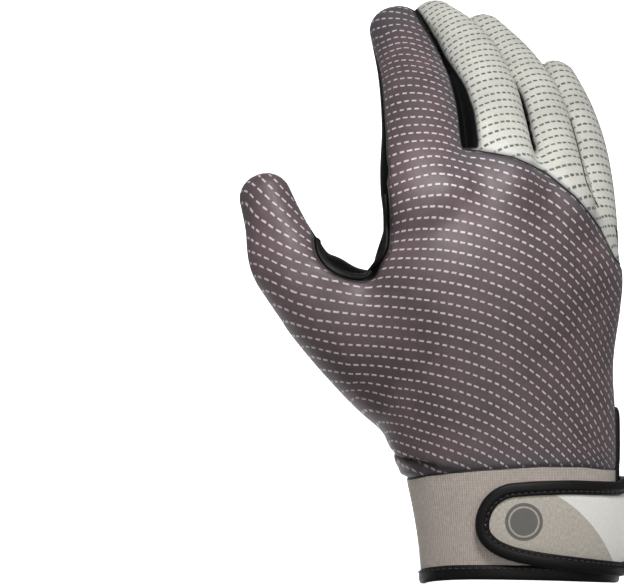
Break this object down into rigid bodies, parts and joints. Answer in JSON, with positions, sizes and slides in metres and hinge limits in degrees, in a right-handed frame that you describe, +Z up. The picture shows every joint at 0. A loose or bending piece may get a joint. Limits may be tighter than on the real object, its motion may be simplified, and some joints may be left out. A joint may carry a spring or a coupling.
{
  "type": "neoprene glove",
  "caption": "Right-hand watersports glove in its worn form, with dashed stretch back panels, a gripping palm, a knitted cuff and a hook-and-loop wrist strap.",
  "frame": {"origin": "centre of the wrist opening, at the hem's lower edge", "axes": "+Z up the hand from the wrist to the fingertips, -Y the way the back of the hand faces, -X towards the thumb"},
  "size_m": [0.1408, 0.1191, 0.217],
  "materials": {
    "back_panel": "matt stretch knit with rows of pale dashes",
    "finger_panel": "matt stretch knit with rows of grey dashes",
    "palm_panel": "matt black with a printed honeycomb grip",
    "cuff": "matt heather knit",
    "strap_face": "matt woven",
    "binding": "matt black tape with lock stitching"
  },
  "bodies": {
    "root": {"back_panel": "back_panel", "finger_panel": "finger_panel", "palm_panel": "palm_panel", "thumb_web_binding": "binding", "cuff": "cuff", "hem_binding": "binding", "slit_binding": "binding", "strap_face": "strap_face", "strap_binding": "binding", "cuff_patch": "binding"}
  },
  "joints": []
}
